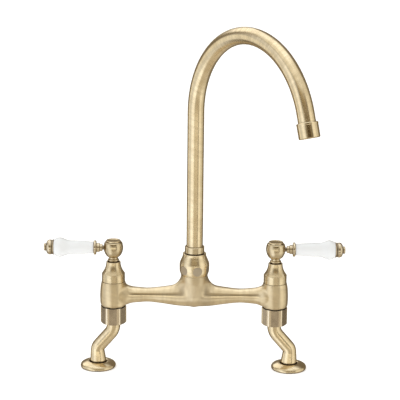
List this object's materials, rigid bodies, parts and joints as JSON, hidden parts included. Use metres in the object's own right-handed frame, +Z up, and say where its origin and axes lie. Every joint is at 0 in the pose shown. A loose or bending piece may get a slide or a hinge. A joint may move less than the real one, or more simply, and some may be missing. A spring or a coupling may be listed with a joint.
{
  "type": "bridge kitchen faucet",
  "caption": "Deck-mounted bridge kitchen tap with a swivelling swan-neck spout, quarter-turn levers with turned porcelain grips and cranked legs.",
  "frame": {"origin": "on the deck plane, midway between the axes of the two legs' feet", "axes": "+Z up out of the deck, +X along the bridge to the user's right, -Y towards the user"},
  "size_m": [0.334, 0.1839, 0.3954],
  "materials": {
    "antique_brass": "brushed satin, lightly antiqued and lacquered",
    "dark_antique_brass": "brushed satin, antiqued darker and browner",
    "plain_brass": "machined, unlacquered",
    "porcelain": "white gloss glaze",
    "valve_ceramic": "lapped flat",
    "black_rubber": "matt",
    "fibre": "pressed fibre",
    "stainless_steel": "turned",
    "bearing_plastic": "smooth",
    "aerator_plastic": "moulded"
  },
  "bodies": {
    "tap_body": {"bridge_body": "antique_brass", "left_base_flange": "antique_brass", "left_bonnet": "antique_brass", "left_deck_seal": "black_rubber", "left_dust_ring": "black_rubber", "left_fixed_disc": "valve_ceramic", "left_leg": "antique_brass", "left_locking_screw": "stainless_steel", "left_seat_seal": "black_rubber", "left_union_nut": "dark_antique_brass", "left_union_washer": "fibre", "left_valve_insert": "plain_brass", "right_base_flange": "antique_brass", "right_bonnet": "antique_brass", "right_deck_seal": "black_rubber", "right_dust_ring": "black_rubber", "right_fixed_disc": "valve_ceramic", "right_leg": "antique_brass", "right_locking_screw": "stainless_steel", "right_seat_seal": "black_rubber", "right_union_nut": "dark_antique_brass", "right_union_washer": "fibre", "right_valve_insert": "plain_brass", "shroud_nut": "antique_brass", "spout_bearings": "bearing_plastic"},
    "spout": {"spout_tube": "antique_brass", "spout_collar": "antique_brass", "spout_spigot": "plain_brass", "spigot_rings": "black_rubber", "nozzle_housing": "antique_brass", "aerator_washer": "black_rubber", "aerator_insert": "aerator_plastic"},
    "left_lever": {"left_spindle": "plain_brass", "left_moving_disc": "valve_ceramic", "left_spindle_rings": "black_rubber", "left_spindle_clip": "stainless_steel", "left_handle_hub": "antique_brass", "left_hub_cap": "antique_brass", "left_hub_screw": "stainless_steel", "left_lever_stem": "antique_brass", "left_lever_grip": "porcelain", "left_grip_cushions": "fibre", "left_lever_rod": "stainless_steel", "left_lever_end_cap": "antique_brass"},
    "right_lever": {"right_spindle": "plain_brass", "right_moving_disc": "valve_ceramic", "right_spindle_rings": "black_rubber", "right_spindle_clip": "stainless_steel", "right_handle_hub": "antique_brass", "right_hub_cap": "antique_brass", "right_hub_screw": "stainless_steel", "right_lever_stem": "antique_brass", "right_lever_grip": "porcelain", "right_grip_cushions": "fibre", "right_lever_rod": "stainless_steel", "right_lever_end_cap": "antique_brass"}
  },
  "joints": [
    {"name": "spout_swivel", "type": "hinge", "parent": "tap_body", "child": "spout", "pos_m": [0, 0, 0.12], "axis": [0, 0, 1], "continuous": true},
    {"name": "left_lever_turn", "type": "hinge", "parent": "tap_body", "child": "left_lever", "pos_m": [-0.09, 0, 0.12], "axis": [0, 0, 1], "range_deg": [0, 90]},
    {"name": "right_lever_turn", "type": "hinge", "parent": "tap_body", "child": "right_lever", "pos_m": [0.09, 0, 0.12], "axis": [0, 0, 1], "range_deg": [-90, 0]}
  ]
}
